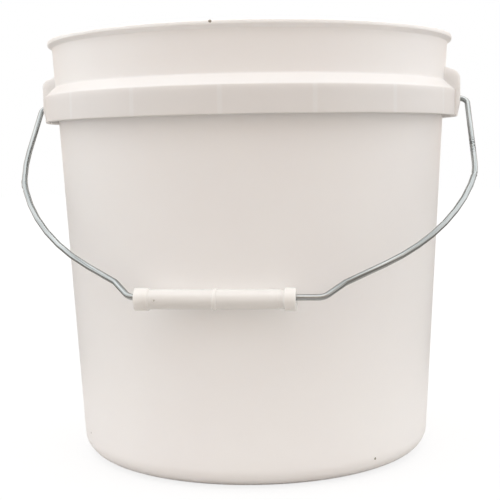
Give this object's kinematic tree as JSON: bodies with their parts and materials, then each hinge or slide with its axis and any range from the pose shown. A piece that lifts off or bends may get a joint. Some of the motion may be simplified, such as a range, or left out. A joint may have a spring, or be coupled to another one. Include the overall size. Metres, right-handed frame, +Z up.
{
  "type": "plastic pail",
  "caption": "Open two gallon plastic pail with a skirted neck, moulded ears, a swinging wire bail and a loose plastic hand grip.",
  "frame": {"origin": "on the pail's axis at the ground, at the underside of the foot ring", "axes": "+Z up out of the mouth; X along the pivot axis through the two ears, the long way over the bail; -Y towards the side that the bail leans on"},
  "size_m": [0.2593, 0.2408, 0.24],
  "materials": {
    "natural_polyethylene": "injection moulded high density polyethylene, white, satin with a waxy sheen",
    "galvanised_wire": "zinc coated steel wire, drawn, grey with darker scuffs",
    "grip_polyethylene": "moulded polyethylene tube, white, a little glossier than the pail"
  },
  "bodies": {
    "pail": {"pail_body": "natural_polyethylene"},
    "bail": {"bail_wire": "galvanised_wire"},
    "grip": {"hand_grip": "grip_polyethylene"}
  },
  "joints": [
    {"name": "bail_swing", "type": "hinge", "parent": "pail", "child": "bail", "pos_m": [0, 0, 0.2043], "axis": [-1, 0, 0], "range_deg": [0, 263.4]},
    {"name": "grip_spin", "type": "hinge", "parent": "bail", "child": "grip", "pos_m": [-0.00526, -0.11375, 0.10188], "axis": [1, 0, 0], "continuous": true}
  ]
}
